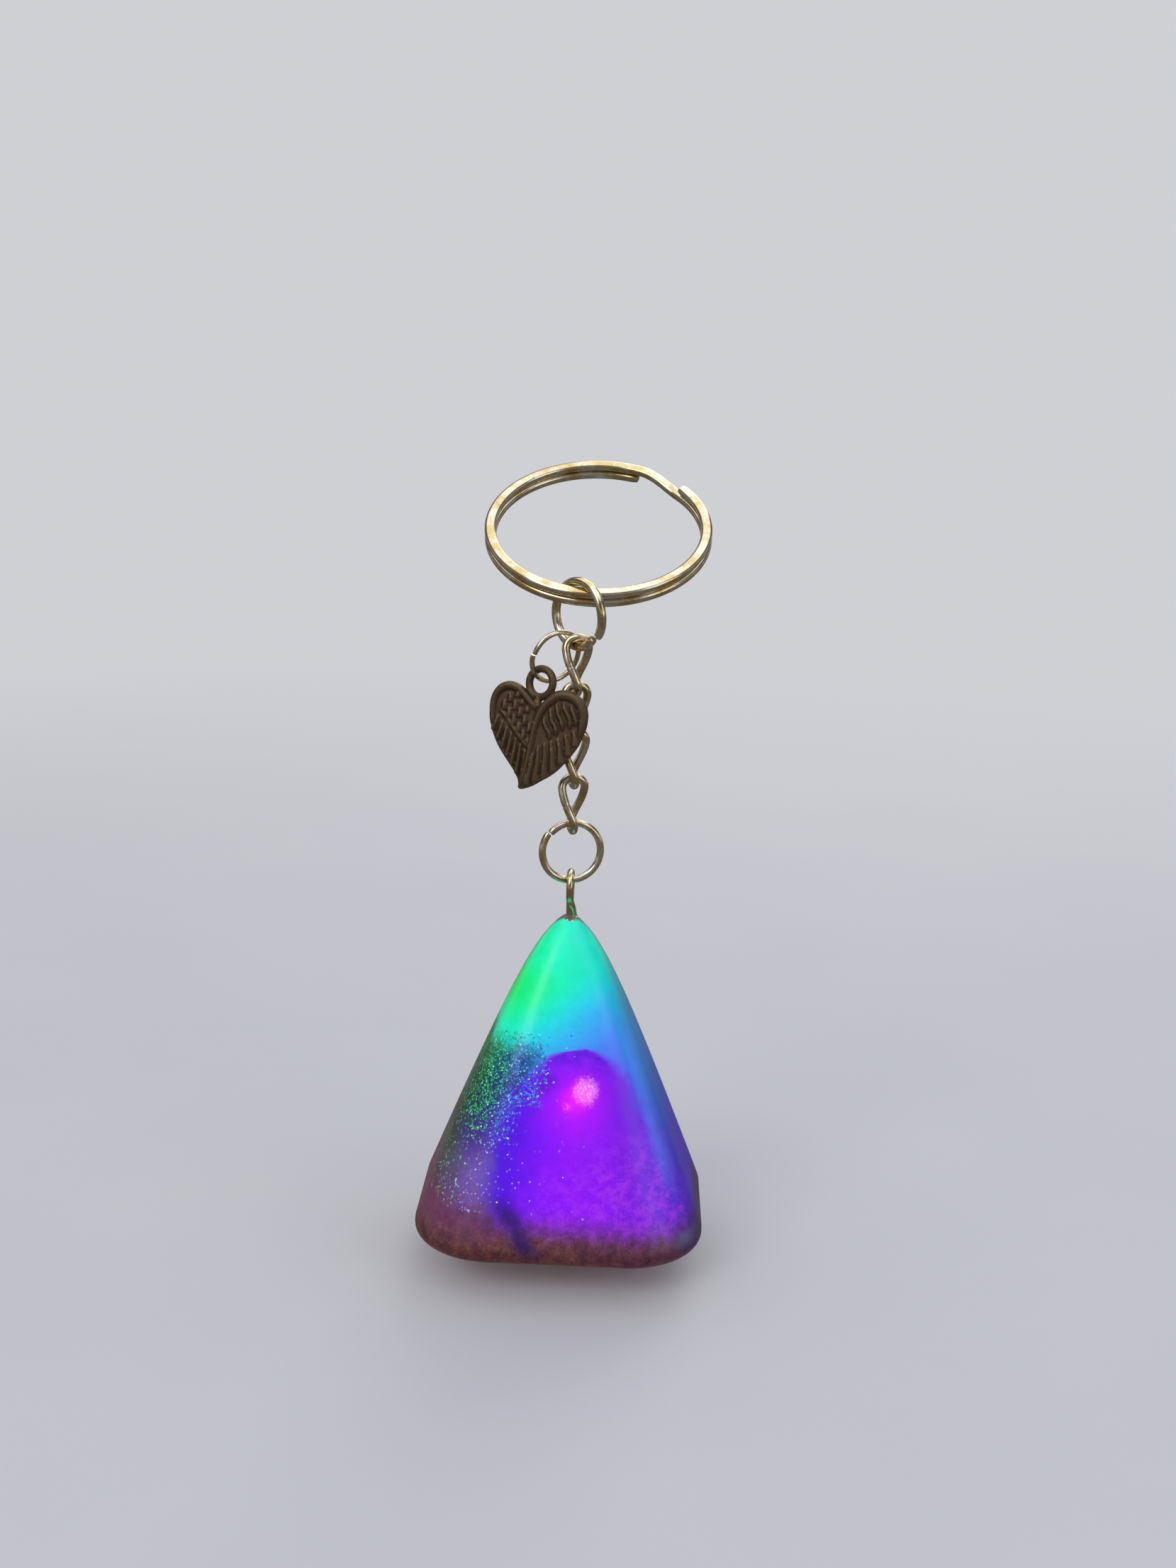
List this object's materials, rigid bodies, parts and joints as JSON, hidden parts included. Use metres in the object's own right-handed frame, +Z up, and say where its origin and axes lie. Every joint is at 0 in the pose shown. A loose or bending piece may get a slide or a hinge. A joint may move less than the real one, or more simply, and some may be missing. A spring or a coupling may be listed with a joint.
{
  "type": "resin pyramid keychain",
  "caption": "Split key ring with a short twisted chain, a bronze winged-heart charm and a rounded resin pyramid pendant in coloured pours on a screw eye.",
  "frame": {"origin": "centre of the pyramid's flat base", "axes": "+Z up along the hanging chain towards the key ring, front (the charm's side) facing -Y, +X to the right seen from the front"},
  "size_m": [0.0378, 0.0443, 0.099],
  "materials": {
    "ring_metal": "pale plated steel, satin",
    "chain_metal": "pale plated steel, polished",
    "antique_bronze": "antique bronze, worn on the raised edges",
    "glow_resin": "translucent resin that glows under ultraviolet light",
    "violet_resin": "translucent violet resin with glitter",
    "bronze_resin": "opaque bronze pigment in resin",
    "clear_resin": "clear glossy resin coat"
  },
  "bodies": {
    "key_ring": {"key_ring": "ring_metal"},
    "large_jump_ring": {"large_jump_ring": "chain_metal"},
    "link_1": {"chain_link_1": "chain_metal"},
    "link_2": {"chain_link_2": "chain_metal"},
    "link_3": {"chain_link_3": "chain_metal"},
    "link_4": {"chain_link_4": "chain_metal"},
    "pendant_ring": {"pendant_jump_ring": "chain_metal"},
    "pendant": {"screw_eye": "chain_metal", "glow_tip": "glow_resin", "violet_middle": "violet_resin", "bronze_base": "bronze_resin", "clear_coat": "clear_resin"},
    "charm_ring": {"charm_jump_ring": "chain_metal"},
    "charm": {"wing_charm": "antique_bronze"}
  },
  "joints": [
    {"name": "large_ring_swing", "type": "hinge", "parent": "key_ring", "child": "large_jump_ring", "pos_m": [0, 0, 0.0832], "axis": [1, 0, 0], "range_deg": [-10, 20]},
    {"name": "link_1_swing", "type": "hinge", "parent": "large_jump_ring", "child": "link_1", "pos_m": [0, 0, 0.07683], "axis": [0.7193, -0.6947, 0], "range_deg": [-1.5, 28]},
    {"name": "link_2_swing", "type": "hinge", "parent": "link_1", "child": "link_2", "pos_m": [0, 0, 0.07193], "axis": [0.9659, 0.2588, 0], "range_deg": [-2, 40]},
    {"name": "link_3_swing", "type": "hinge", "parent": "link_2", "child": "link_3", "pos_m": [0, 0, 0.06478], "axis": [-0.2588, 0.9659, 0], "range_deg": [-40, 26]},
    {"name": "link_4_swing", "type": "hinge", "parent": "link_3", "child": "link_4", "pos_m": [0, 0, 0.05983], "axis": [0.9659, 0.2588, 0], "range_deg": [-40, 40]},
    {"name": "pendant_ring_swing", "type": "hinge", "parent": "link_4", "child": "pendant_ring", "pos_m": [0, 0, 0.05269], "axis": [-0.2588, 0.9659, 0], "range_deg": [-45, 45]},
    {"name": "pendant_swing", "type": "hinge", "parent": "pendant_ring", "child": "pendant", "pos_m": [0, 0, 0.04598], "axis": [1, 0, 0], "range_deg": [-40, 40]},
    {"name": "charm_ring_swing", "type": "hinge", "parent": "large_jump_ring", "child": "charm_ring", "pos_m": [-0.00118, 0.00114, 0.07716], "axis": [0.6602, -0.6375, -0.3971], "range_deg": [-20, 1]},
    {"name": "charm_swing", "type": "hinge", "parent": "charm_ring", "child": "charm", "pos_m": [-0.00513, -0.00005, 0.07295], "axis": [0.4622, 0.5982, -0.6547], "range_deg": [-1, 18]}
  ]
}
